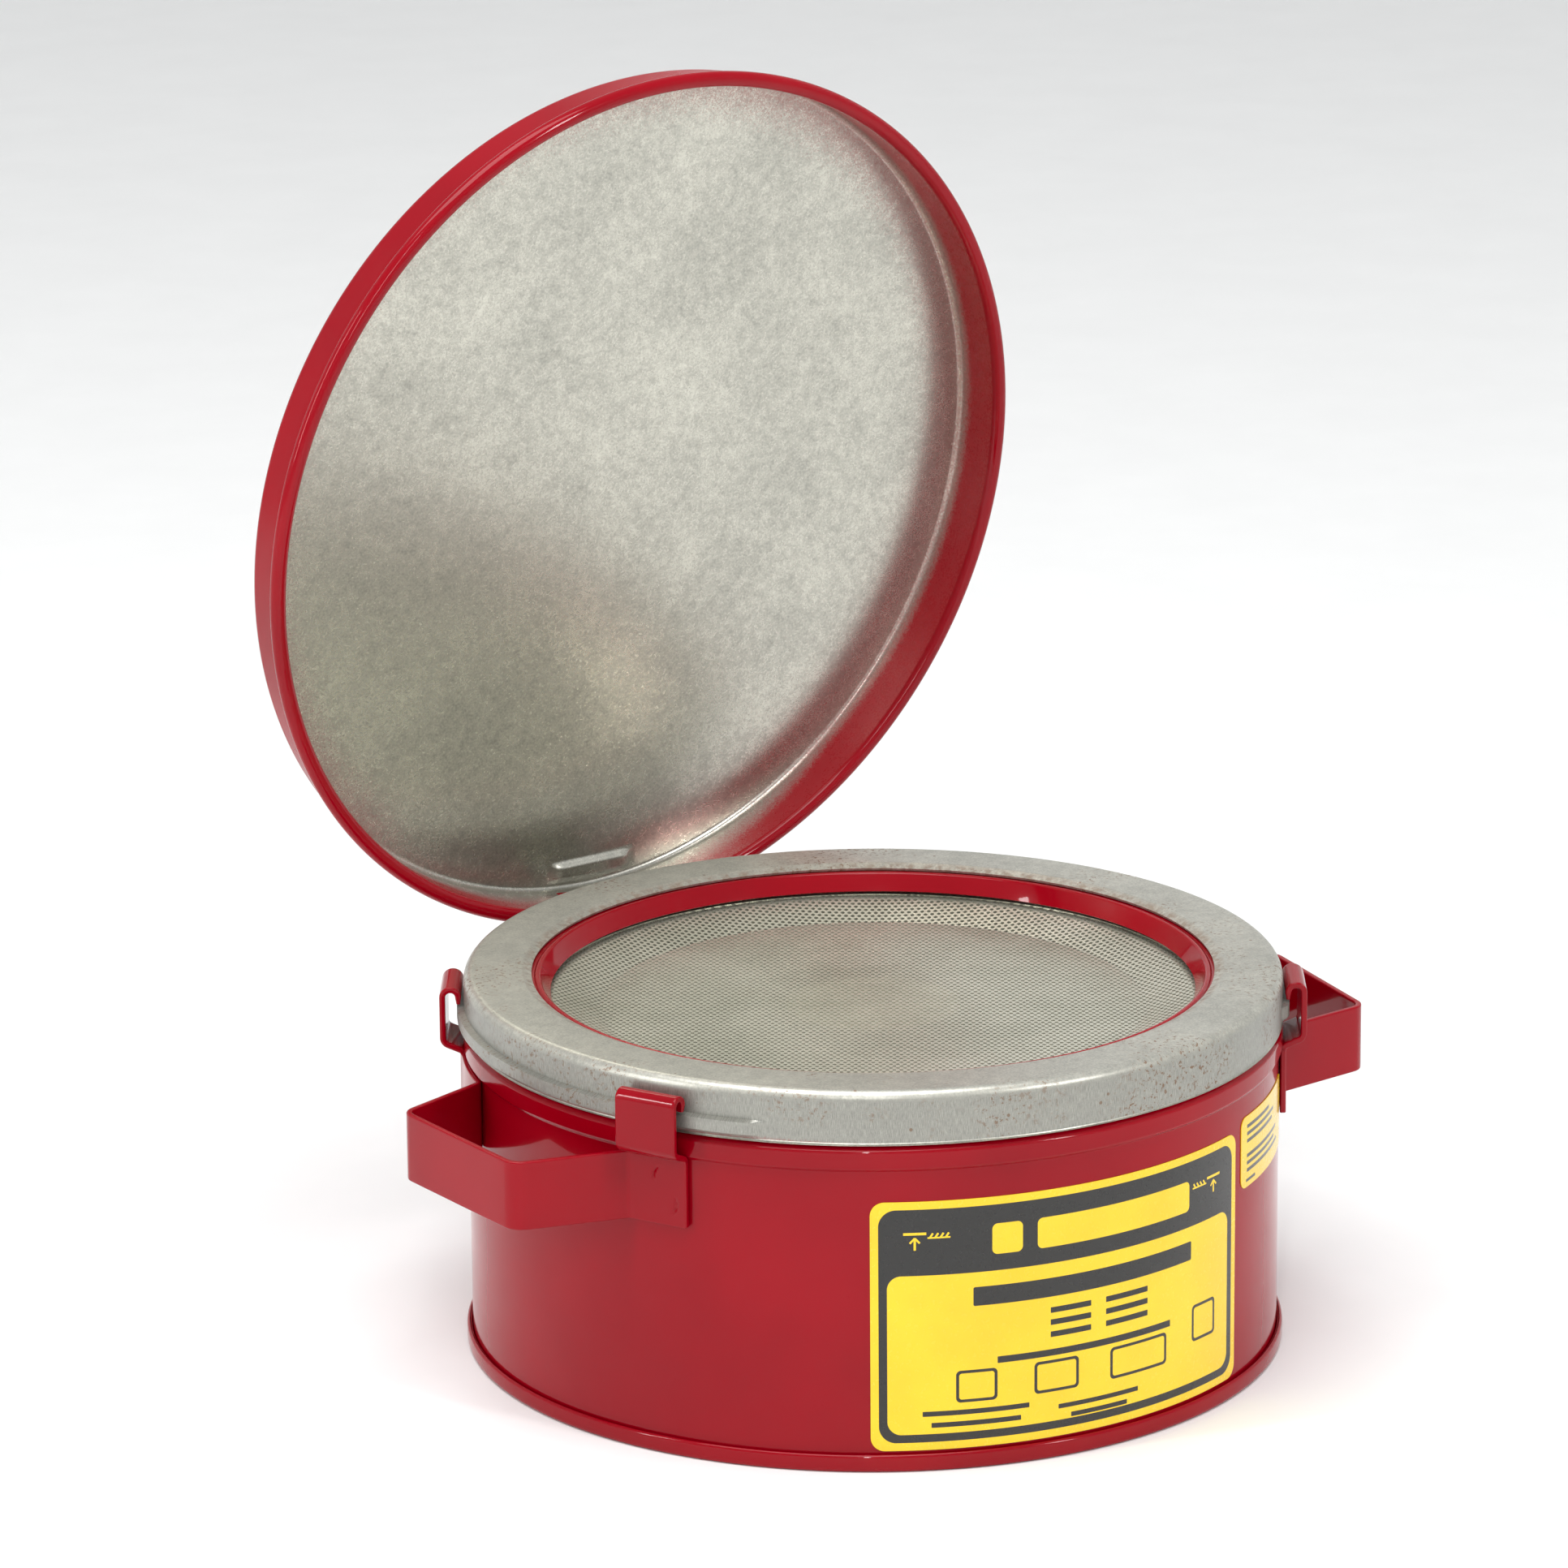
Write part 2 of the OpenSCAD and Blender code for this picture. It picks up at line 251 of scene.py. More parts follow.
def rounded_section(width, thickness, corner, steps=4, across=0.5):
    """Outline of a strap's section: rounded rectangle, thickness along x, width along y."""
    points = []
    for quarter, (sx, sy) in enumerate(((1, 1), (-1, 1), (-1, -1), (1, -1))):
        centre = Vector((sx * (thickness / 2 - corner), sy * (width / 2 - corner)))
        for i in range(steps + 1):
            angle = math.pi / 2 * (quarter + i / steps)
            points.append(centre + corner * Vector((math.cos(angle), math.sin(angle))))
        if quarter in (1, 3):
            flat = width - 2 * corner
            count = round(flat / across)
            start = points[-1].copy()
            points += [start - Vector((0, sy * flat * j / count)) for j in range(1, count)]
    return points


def sweep_faces(rings, size):
    """Faces of a tube of rings, with end caps."""
    faces = []
    for i in range(rings - 1):
        for k in range(size):
            n = (k + 1) % size
            faces.append((i * size + k, i * size + n, (i + 1) * size + n, (i + 1) * size + k))
    faces.append(tuple(reversed(range(size))))
    faces.append(tuple((rings - 1) * size + k for k in range(size)))
    return faces


def denser(line, step, fine_step, centres, reach):
    """The same line with more points, closest together within reach of the centres."""
    points = [line[0]]
    for a, b in zip(line, line[1:]):
        near = any(((a + b) / 2 - centre).length < reach for centre in centres)
        count = max(1, math.ceil((b - a).length / (fine_step if near else step)))
        points += [a.lerp(b, i / count) for i in range(1, count + 1)]
    return points


# ---------------------------------------------------------------- materials

class Shader:
    """A material's node tree, built up with short calls."""

    def __init__(self, name):
        self.material = bpy.data.materials.new(name)
        self.material.use_nodes = True
        self.tree = self.material.node_tree
        self.tree.nodes.clear()
        self.bsdf = self.tree.nodes.new("ShaderNodeBsdfPrincipled")
        output = self.tree.nodes.new("ShaderNodeOutputMaterial")
        self.tree.links.new(self.bsdf.outputs[0], output.inputs[0])
        self.coordinates = self.tree.nodes.new("ShaderNodeTexCoord")

    def link(self, value, socket):
        if isinstance(value, bpy.types.NodeSocket):
            self.tree.links.new(value, socket)
        else:
            socket.default_value = value

    def set(self, **values):
        for key, value in values.items():
            self.link(value, self.bsdf.inputs[key.replace("_", " ").title().replace("Ior", "IOR")])

    def position(self):
        """The object's own coordinates in millimetres."""
        node = self.tree.nodes.new("ShaderNodeMapping")
        self.tree.links.new(self.coordinates.outputs["Object"], node.inputs["Vector"])
        node.inputs["Scale"].default_value = (1 / MM, 1 / MM, 1 / MM)
        return node.outputs[0]

    def uv(self):
        return self.coordinates.outputs["UV"]

    def split(self, vector):
        node = self.tree.nodes.new("ShaderNodeSeparateXYZ")
        self.link(vector, node.inputs[0])
        return node.outputs

    def join(self, x, y, z):
        node = self.tree.nodes.new("ShaderNodeCombineXYZ")
        for value, socket in zip((x, y, z), node.inputs):
            self.link(value, socket)
        return node.outputs[0]

    def math(self, operation, a, b=0.0):
        node = self.tree.nodes.new("ShaderNodeMath")
        node.operation = operation
        for value, socket in zip((a, b), node.inputs):
            self.link(value, socket)
        return node.outputs[0]

    def noise(self, vector, scale, detail=3.0, roughness=0.55, distortion=0.0):
        node = self.tree.nodes.new("ShaderNodeTexNoise")
        self.link(vector, node.inputs["Vector"])
        node.inputs["Scale"].default_value = scale
        node.inputs["Detail"].default_value = detail
        node.inputs["Roughness"].default_value = roughness
        node.inputs["Distortion"].default_value = distortion
        return node.outputs[0]

    def cells(self, vector, scale):
        node = self.tree.nodes.new("ShaderNodeTexVoronoi")
        self.link(vector, node.inputs["Vector"])
        node.inputs["Scale"].default_value = scale
        return node.outputs

    def span(self, value, low, high, to_low=0.0, to_high=1.0):
        """value from low..high mapped to to_low..to_high, held at the ends."""
        node = self.tree.nodes.new("ShaderNodeMapRange")
        for number, socket in zip((value, low, high, to_low, to_high), node.inputs):
            self.link(number, socket)
        return node.outputs[0]

    def mix(self, factor, a, b):
        node = self.tree.nodes.new("ShaderNodeMix")
        node.data_type = "RGBA"
        self.link(factor, node.inputs[0])
        self.link(a, node.inputs[6])
        self.link(b, node.inputs[7])
        return node.outputs[2]

    def bump(self, height, distance, strength=1.0, after=None):
        node = self.tree.nodes.new("ShaderNodeBump")
        node.inputs["Distance"].default_value = distance
        node.inputs["Strength"].default_value = strength
        self.link(height, node.inputs["Height"])
        if after is not None:
            self.link(after, node.inputs["Normal"])
        return node.outputs[0]


def rgb(red, green, blue):
    """A colour given as screen values from 0 to 255."""
    def linear(v):
        v /= 255
        return v / 12.92 if v <= 0.04045 else ((v + 0.055) / 1.055) ** 2.4
    return (linear(red), linear(green), linear(blue), 1.0)


RED = rgb(152, 0, 20)
RED_DEEP = rgb(138, 0, 17)
ZINC_PALE = rgb(212, 210, 198)
ZINC_DARK = rgb(158, 157, 149)
RUST = rgb(118, 84, 56)
YELLOW = rgb(248, 208, 22)
INK = rgb(24, 22, 20)


def red_enamel():
    s = Shader("red_enamel")
    where = s.position()
    clouds = s.noise(where, 0.012, 3.0)
    peel = s.noise(where, 0.35, 2.0)
    dust = s.cells(where, 0.16)
    speck = s.math("LESS_THAN", dust["Distance"], 0.045)
    s.set(
        base_color=s.mix(s.span(clouds, 0.35, 0.65), RED_DEEP, RED),
        roughness=s.span(s.noise(where, 0.05, 4.0), 0.3, 0.7, 0.12, 0.2),
        specular_ior_level=0.05,
        coat_weight=0.4,
        coat_roughness=0.03,
        normal=s.bump(speck, 0.00012, 0.5, s.bump(peel, 0.00003, 0.25)),
    )
    return s.material


def zinc(name, skirt=False, rust=0.0, overspray=None, roughness=(0.3, 0.42), metallic=0.95):
    """Galvanised sheet: clouds and fine grain, brushed lines up the skirt in darker greys that are
    also painted shade on the upright skirt, rust specks on top.
    """
    s = Shader(name)
    where = s.position()
    x, y, z = s.split(where)
    clouds = s.noise(where, 0.03, 5.0, 0.6, 0.3)
    grain = s.noise(where, 1.5, 3.0)
    blotches = s.noise(where, 0.3, 2.0)
    tone = s.math("ADD", s.math("MULTIPLY", clouds, 0.3), s.math("MULTIPLY", grain, 0.45))
    tone = s.math("ADD", tone, s.math("MULTIPLY", blotches, 0.25))
    angle = s.math("ARCTAN2", y, x)
    radius = s.math("SQRT", s.math("ADD", s.math("MULTIPLY", x, x), s.math("MULTIPLY", y, y)))
    height = s.math("MULTIPLY", grain, 0.3)
    colour = s.mix(s.span(tone, 0.34, 0.66), ZINC_DARK, ZINC_PALE)
    if skirt:
        on_skirt = s.span(z, RING_TOP - 1.2, RING_TOP - 3.0)
        round_skirt = s.join(s.math("MULTIPLY", angle, 150.0), s.math("MULTIPLY", z, 0.05), 0.0)
        lines = s.math("SUBTRACT", s.noise(round_skirt, 7.5, 4.0, 0.75), 0.5)
        lines = s.math("MULTIPLY", lines, on_skirt)
        height = s.math("ADD", height, s.math("MULTIPLY", lines, 2.5))
        # The brushed lines are the skirt's own; their greys, darker than the top's zinc, are painted
        # shade on the upright skirt.
        brushed_and_shaded = s.mix(s.span(lines, -0.14, 0.14), rgb(112, 112, 107), rgb(172, 171, 163))
        colour = s.mix(s.math("MULTIPLY", on_skirt, 0.85), colour, brushed_and_shaded)
    rough = s.span(tone, 0.3, 0.7, roughness[1], roughness[0])
    if rust:
        patches = s.span(s.noise(where, 0.028, 3.0, 0.6), 0.5, 0.62)
        specks = s.span(s.noise(where, 0.75, 3.0, 0.65), 0.56, 0.62)
        spots = s.math("MULTIPLY", patches, specks)
        lip = s.span(radius, OPENING_R + 3.4, OPENING_R + 1.6)
        lip = s.math("MULTIPLY", lip, s.span(s.noise(where, 0.4, 3.0), 0.4, 0.6))
        pits = s.math("LESS_THAN", s.cells(where, 0.11)["Distance"], 0.055)
        spots = s.math("MAXIMUM", spots, s.math("MULTIPLY", pits, 0.8))
        spots = s.math("MAXIMUM", spots, s.math("MULTIPLY", lip, 0.7))
        spots = s.math("MULTIPLY", spots, rust)
        colour = s.mix(spots, colour, RUST)
        rough = s.math("ADD", rough, s.math("MULTIPLY", spots, 0.3))
        clean = s.math("SUBTRACT", 1.0, s.math("MULTIPLY", spots, 0.8))
        metallic = s.math("MULTIPLY", metallic, clean)
    if overspray:
        mist = s.noise(where, 1.8, 3.0, 0.7)
        amount = overspray(s, radius, angle, z)
        painted = s.span(s.math("ADD", s.math("MULTIPLY", mist, 0.7), amount), 0.75, 1.25)
        colour = s.mix(painted, colour, RED)
        metallic = s.math("MULTIPLY", metallic, s.math("SUBTRACT", 1.0, painted))
    s.set(base_color=colour, roughness=rough, metallic=metallic,
          normal=s.bump(height, 0.00005, 0.3))
    return s.material


def lid_overspray(s, radius, angle, z):
    """Red paint mist that strayed in over the rim, thinner on the hinge's side."""
    near_wall = s.span(radius, LID_WALL - 34, LID_WALL - 1, 0.0, 0.5)
    up_wall = s.span(z, LID_FLOOR - 1.0, RIM_Z + 6.0, 0.1, 0.9)
    side = s.span(s.math("SINE", angle), 0.75, 0.98, 1.0, 0.55)
    return s.math("MULTIPLY", s.math("ADD", near_wall, up_wall), side)


def skirt_overspray(s, radius, angle, z):
    """Red paint mist along the lower edge of the skirt."""
    low = s.span(z, SKIRT_Z + 3.4, SKIRT_Z + 0.6, 0.0, 0.8)
    side = s.span(s.math("COSINE", angle), -0.2, -0.85)
    return s.math("MULTIPLY", low, side)


def perforated_steel():
    s = Shader("perforated_steel")
    where = s.position()
    tone = s.noise(where, 0.02, 4.0, 0.6)
    grain = s.noise(where, 1.4, 2.0)
    colour = s.mix(s.span(tone, 0.3, 0.7), rgb(196, 196, 178), rgb(226, 224, 208))
    s.set(
        base_color=colour,
        roughness=s.span(grain, 0.3, 0.7, 0.28, 0.38),
        metallic=0.7,
        normal=s.bump(grain, 0.00003, 0.4),
    )
    return s.material


def spring_steel():
    s = Shader("spring_steel")
    where = s.position()
    grain = s.noise(where, 0.6, 3.0)
    s.set(
        base_color=s.mix(grain, rgb(110, 112, 112), rgb(168, 170, 168)),
        roughness=s.span(grain, 0.3, 0.7, 0.3, 0.45),
        metallic=0.95,
        normal=s.bump(grain, 0.00002, 0.4),
    )
    return s.material


def seal_rubber():
    s = Shader("seal_rubber")
    grain = s.noise(s.position(), 0.9, 3.0)
    s.set(
        base_color=s.mix(grain, rgb(28, 28, 30), rgb(48, 48, 50)),
        roughness=s.span(grain, 0.3, 0.7, 0.65, 0.85),
        normal=s.bump(grain, 0.00005, 0.5),
    )
    return s.material


# ---------------------------------------------------------------- stickers

class Print(Shader):
    """Shader for printed film. Masks are 1 inside a shape; u and v are millimetres on the film."""

    def __init__(self, name):
        super().__init__(name)
        parts = self.split(self.uv())
        self.u = self.math("MULTIPLY", parts[0], 1 / MM)
        self.v = self.math("MULTIPLY", parts[1], 1 / MM)

    def box(self, centre, size, corner=0.0, turn=0.0):
        """Mask of a rectangle with rounded corners."""
        u = self.math("SUBTRACT", self.u, centre[0])
        v = self.math("SUBTRACT", self.v, centre[1])
        if turn:
            c, n = math.cos(turn), math.sin(turn)
            turned_u = self.math("ADD", self.math("MULTIPLY", u, c), self.math("MULTIPLY", v, n))
            v = self.math("SUBTRACT", self.math("MULTIPLY", v, c), self.math("MULTIPLY", u, n))
            u = turned_u
        squares = []
        for value, length in ((u, size[0]), (v, size[1])):
            past = self.math("SUBTRACT", self.math("ABSOLUTE", value), length / 2 - corner)
            past = self.math("MAXIMUM", past, 0.0)
            squares.append(self.math("MULTIPLY", past, past))
        out = self.math("SQRT", self.math("ADD", *squares))
        blur = 0.06
        return self.span(out, corner + blur, max(corner - blur, 0.0))

    def any(self, masks):
        total = masks[0]
        for mask in masks[1:]:
            total = self.math("MAXIMUM", total, mask)
        return total

    def without(self, mask, hole):
        return self.math("MULTIPLY", mask, self.math("SUBTRACT", 1.0, hole))

    def fill_mark(self, u, v, side):
        """A level line, an arrow under it and ripples beside it."""
        arrow = [
            self.box((u, v), (6.4, 0.7)),
            self.box((u, v - 3.0), (0.6, 3.6)),
            self.box((u - 0.7, v - 2.0), (0.5, 2.0), turn=-0.75),
            self.box((u + 0.7, v - 2.0), (0.5, 2.0), turn=0.75),
        ]
        ripples = [
            self.box((u + side * (4.6 + 1.5 * i), v - 0.7), (0.5, 1.7), turn=-side * 0.6)
            for i in range(4)
        ]
        ripples.append(self.box((u + side * 6.8, v - 1.3), (6.4, 0.4)))
        return self.any(arrow + ripples)


def print_finish(s, ink):
    film = s.noise(s.position(), 0.05, 3.0)
    scuffs = s.noise(s.position(), 0.8, 3.0)
    yellow = s.mix(s.span(film, 0.3, 0.7), rgb(240, 198, 16), YELLOW)
    s.set(
        base_color=s.mix(ink, yellow, INK),
        roughness=s.span(scuffs, 0.3, 0.7, 0.18, 0.3),
        coat_weight=0.3,
        coat_roughness=0.08,
        normal=s.bump(scuffs, 0.00001, 0.3),
    )
    return s.material


def main_label_print(width, low_z, height):
    """Black frame and header, fill marks, and plain bars where printed lines would be."""
    s = Print("main_label_print")
    mid_z = low_z + height / 2
    margin = 2.3
    rule = 2.4
    header_h = 19.5
    outer = s.box((0, mid_z), (width - 2 * margin, height - 2 * margin), 5.0)
    panel_h = height - 2 * margin - rule - header_h
    panel_z = low_z + margin + rule + panel_h / 2
    panel = s.box((0, panel_z), (width - 2 * (margin + rule), panel_h), 4.0)
    header_z = low_z + height - margin - header_h / 2
    mark_u = width / 2 - 12.5
    yellow_on_black = s.any([
        s.box((-24, header_z - 0.4), (9, 9), 1.6),
        s.box((12, header_z - 0.4), (54, 9), 1.6),
        s.fill_mark(-mark_u, header_z + 2.6, 1),
        s.fill_mark(mark_u, header_z + 2.6, -1),
    ])
    bars = [s.box((3, panel_z + 16.4), (74, 5.6), 0.5)]
    for row in range(3):
        v = panel_z + 9.6 - 3.6 * row
        bars += [s.box((-4.5, v), (13, 1.7), 0.2), s.box((14.5, v), (15, 1.7), 0.2)]
    bars.append(s.box((2, panel_z - 3.0), (58, 2.0), 0.2))
    for row in range(2):
        bars.append(s.box((-33, panel_z - 17.6 - 3.4 * row), (31 - 5 * row, 1.5), 0.2))
        bars.append(s.box((5, panel_z - 19.5 - 3.0 * row), (27 - 8 * row, 1.4), 0.2))
    frames = ((-33, -10.0, 12, 9.5), (-9, -10.0, 14, 9.5), (19, -10.0, 21, 9.5), (46, -6.0, 11, 11))
    squares = [
        s.without(
            s.box((u, panel_z + v), (w, h), 1.4),
            s.box((u, panel_z + v), (w - 1.8, h - 1.8), 0.8),
        )
        for u, v, w, h in frames
    ]
    ink = s.without(s.without(outer, panel), yellow_on_black)
    return print_finish(s, s.any([ink] + bars + squares))


def side_label_print(left, low_z, height):
    """Plain bars where printed lines would be; a length of 0 leaves a gap."""
    s = Print("side_label_print")
    lengths = (20, 26, 24, 0, 30, 27, 32)
    bars = [
        s.box((left + 4 + length / 2, low_z + height - 3.2 - 2.2 * row), (length, 1.1), 0.1)
        for row, length in enumerate(lengths) if length
    ]
    bars.append(s.box((left + 7, low_z + 2.0), (7, 0.9), 0.1))
    return print_finish(s, s.any(bars))


def sticker(name, node, material, azimuth, width, corner):
    """A film wrapped round the wall: an outline cut in strips, bent to the wall's radius."""
    low, high = node_box(node)
    height = high.z - low.z
    film = 0.22
    glue = 0.03
    work = bmesh.new()
    points = []
    centres = ((1, 1), (-1, 1), (-1, -1), (1, -1))
    steps = 8
    for quarter, (su, sv) in enumerate(centres):
        for i in range(steps + 1):
            angle = math.pi / 2 * (quarter + i / steps)
            points.append((
                su * (width / 2 - corner) + corner * math.cos(angle),
                sv * (height / 2 - corner) + corner * math.sin(angle),
            ))
    face = work.faces.new([work.verts.new((u, v + low.z + height / 2, 0)) for u, v in points])
    made = bmesh.ops.extrude_face_region(work, geom=[face])
    for vert in made["geom"]:
        if isinstance(vert, bmesh.types.BMVert):
            vert.co.z = film
    strip = 2.0
    cuts = int(width / strip)
    for i in range(1, cuts):
        u = -width / 2 + width * i / cuts
        bmesh.ops.bisect_plane(
            work, geom=work.verts[:] + work.edges[:] + work.faces[:],
            plane_co=(u, 0, 0), plane_no=(1, 0, 0),
        )
    layer = work.loops.layers.uv.new("film")
    for f in work.faces:
        for loop in f.loops:
            loop[layer].uv = (loop.vert.co.x * MM, loop.vert.co.y * MM)
    for vert in work.verts:
        u, v, lift = vert.co
        radius = WALL_R + glue + lift
        angle = math.radians(azimuth) + u / WALL_R
        vert.co = Vector((radius * math.sin(angle), -radius * math.cos(angle), v)) * MM
    bmesh.ops.recalc_face_normals(work, faces=work.faces)
    mesh = bpy.data.meshes.new(name)
    work.to_mesh(mesh)
    work.free()
    return put(finish_piece(name, mesh, [material], sharp=50), "can", "label_vinyl", node)


def arc_width(node):
    """Width of a sticker's CAD node along the wall, and the azimuth of its middle."""
    azimuths = [math.atan2(v.co.x, -v.co.y) for v in frame["nodes"][node].data.vertices]
    first, last = min(azimuths), max(azimuths)
    return (last - first) * WALL_R, math.degrees(last + first) / 2


def make_stickers():
    width, azimuth = arc_width("main_label")
    low, high = node_box("main_label")
    paint = main_label_print(width, low.z, high.z - low.z)
    sticker("main_sticker", "main_label", paint, azimuth, width, corner=4.0)
    width, azimuth = arc_width("side_label")
    low, high = node_box("side_label")
    paint = side_label_print(-width / 2, low.z, high.z - low.z)
    sticker("side_sticker", "side_label", paint, azimuth, width, corner=3.0)


# ---------------------------------------------------------------- the can

def make_can(red, bare):
    line = bent_line(
        [
            (WALL_R - HALF, 0.95),
            (WALL_R - HALF, WALL_END),
            (SWELL_R - HALF, SWELL_START),
            (SWELL_R - HALF, SWELL_END),
            (NECK_R - HALF, NECK_START),
            (NECK_R - HALF, MOUTH_Z - 1.5),
        ],
        [0.8, 0.8, 0.8, 1.0],
    )
    curl = 1.5
    line += [
        Vector((NECK_R - curl, MOUTH_Z - curl))
        + (curl - HALF) * Vector((math.cos(a), math.sin(a)))
        for a in [math.radians(20 * i) for i in range(1, 15)]
    ]
    shell = spin(
        "can_wall", line, [red, bare],
        slot_of=lambda at, left: int(left and at.y < MOUTH_Z - 2),
    )
    put(shell, "can", "red_enamel", "can_shell")
    hook_r = WALL_R + 0.55
    seam = [
        (0, PANEL_Z - HALF), (111, PANEL_Z - HALF), (113, PANEL_Z - PANEL_DROP),
        (SEAM_IN, PANEL_Z - PANEL_DROP), (SEAM_IN, HALF), (SEAM_R - HALF, HALF),
        (SEAM_R - HALF, SEAM_H - HALF), (hook_r, SEAM_H - HALF), (hook_r, 1.3),
    ]
    line = bent_line(seam, [1.0, 1.0, 0.8, 0.42, 0.9, 0.55, 0.3], steps=6)
    base = spin(
        "can_base", line, [red, bare],
        slot_of=lambda at, left: int(left and at.x < SEAM_IN - 0.3),
    )
    put(base, "can", "red_enamel", "can_bottom")


# ---------------------------------------------------------------- handles

def wall_point(azimuth, radius):
    a = math.radians(azimuth)
    return Vector((radius * math.sin(a), -radius * math.cos(a)))


def foot_ends(azimuth, radius, half):
    a = math.radians(azimuth)
    middle = wall_point(azimuth, radius)
    tangent = Vector((math.cos(a), math.sin(a)))
    return middle - tangent * half, middle + tangent * half


CLIP_AZIMUTHS = (60.5, 120.0)
CLIP_W = 19.4
CLIP_R = 124.9
CLIP_TOP = 107.4
CLIP_TIP = 103.1
HOOK_R = RING_R + 0.4 + STRAP_T / 2
FOOT_R = WALL_R + 0.05 + STRAP_T / 2
REAR_ARC = range(102, 115, 2)


def dent_depth(across, up):
    """Depth of the two crescent weld dents in a foot, at a place from the foot's middle."""
    depth = 0.0
    for cx, cz, radius, start in ((3.4, -3.2, 3.2, -0.2), (2.0, 4.2, 3.0, 2.7)):
        d = Vector((across - cx, up - cz))
        bearing = (math.atan2(d.y, d.x) - start + math.pi) % (2 * math.pi) - math.pi
        arc = math.exp(-((d.length - radius) / 0.35) ** 2) * math.exp(-(bearing / 0.75) ** 4)
        depth = max(depth, 0.5 * arc)
    return depth


def strap_mesh(work, line, width, thickness, place):
    """Adds a round-edged strap; place puts a point of its plane line, and one across it, in 3-D."""
    section = rounded_section(width, thickness, 0.42)
    rings = []
    for i, point in enumerate(line):
        along = (line[min(i + 1, len(line) - 1)] - line[max(i - 1, 0)]).normalized()
        normal = Vector((-along.y, along.x))
        taken = 0.35 if i in (0, len(line) - 1) else 0.0
        ring = []
        for s in section:
            lift = s.x * (1 - 2 * taken / thickness)
            across = s.y * (1 - 2 * taken / width)
            ring.append(work.verts.new(place(point + normal * lift, across) * MM))
        rings.append(ring)
    size = len(section)
    for a, b in zip(rings, rings[1:]):
        for k in range(size):
            n = (k + 1) % size
            work.faces.new((a[k], a[n], b[n], b[k]))
    work.faces.new(rings[0][::-1])
    work.faces.new(rings[-1])


def make_handle(name, node, side, red):
    front, rear = CLIP_AZIMUTHS
    low, high = node_box(node)
    reach = max(abs(low.x), abs(high.x)) - STRAP_T / 2 + 0.05
    half = CLIP_W / 2
    rear_arc = [wall_point(a, FOOT_R) for a in REAR_ARC]
    grip_front, grip_rear = (reach - 5.3, -44.0), (reach, 12.0)
    grip = bent_line(
        [*foot_ends(front, FOOT_R, half), grip_front, grip_rear, rear_arc[0], rear_arc[1]],
        [3.0, 5.0, 5.0, 3.0],
    )
    line = grip + rear_arc[2:] + list(foot_ends(rear, FOOT_R, half))
    feet = [wall_point(side * azimuth, FOOT_R) for azimuth in CLIP_AZIMUTHS]
    line = denser([Vector((side * p.x, p.y)) for p in line], 6.0, 0.5, feet, half)
    middle = STRAP_Z + STRAP_W / 2
    strap_top = STRAP_Z + STRAP_W

    def strap_place(p, up):
        """Lifts the strap into place, with the weld dents pressed into its feet."""
        point = Vector((p.x, p.y, middle + up))
        for foot in feet:
            out = foot.normalized()
            along = Vector((-out.y, out.x)) * side
            offset = p - foot
            if offset.dot(out) > 0.3 * STRAP_T and abs(offset.dot(along)) < half:
                point -= (out * dent_depth(-offset.dot(along), up)).to_3d()
        return point

    work = bmesh.new()
    strap_mesh(work, line, STRAP_W, STRAP_T, strap_place)
    clip = bent_line(
        [
            (FOOT_R - 0.03, strap_top - 3), (FOOT_R - 0.03, strap_top + 0.3),
            (CLIP_R, strap_top + 2.8), (CLIP_R, CLIP_TOP),
            (HOOK_R, CLIP_TOP), (HOOK_R, CLIP_TIP),
        ],
        [1.5, 2.4, 2.25, 2.25],
    )
    for azimuth in CLIP_AZIMUTHS:
        a = math.radians(side * azimuth)
        out = Vector((math.sin(a), -math.cos(a), 0))
        across = Vector((math.cos(a), math.sin(a), 0))
        strap_mesh(
            work, clip, CLIP_W, STRAP_T,
            lambda p, s, out=out, across=across: out * p.x + across * s + Vector((0, 0, p.y)),
        )
    bmesh.ops.recalc_face_normals(work, faces=work.faces)
    mesh = bpy.data.meshes.new(name)
    work.to_mesh(mesh)
    work.free()
    put(finish_piece(name, mesh, [red], sharp=35), "can", "red_enamel", node)


# ---------------------------------------------------------------- the cover

def bead_push(point, r, angle):
    """Presses the two hold-down beads out of the skirt."""
    if r < RING_R - 1.4 or point.z > BEAD_HIGH or point.z < BEAD_LOW:
        return point
    azimuth = math.degrees(math.atan2(point.x, -point.y))
    gaps = [abs((azimuth - a + 180) % 360 - 180) for a in (BEAD_AZ, BEAD_AZ - 180)]
    inside = (BEAD_HALF_SPAN - min(gaps)) / 2.2
    if inside <= 0:
        return point
    rise = max(0.0, min(1.0, (point.z - BEAD_LOW) / 1.6, (BEAD_HIGH - point.z) / 0.5))
    out = BEAD_OUT * ease(min(1.0, inside)) * ease(rise)
    return point + out * Vector((math.cos(angle), math.sin(angle), 0))


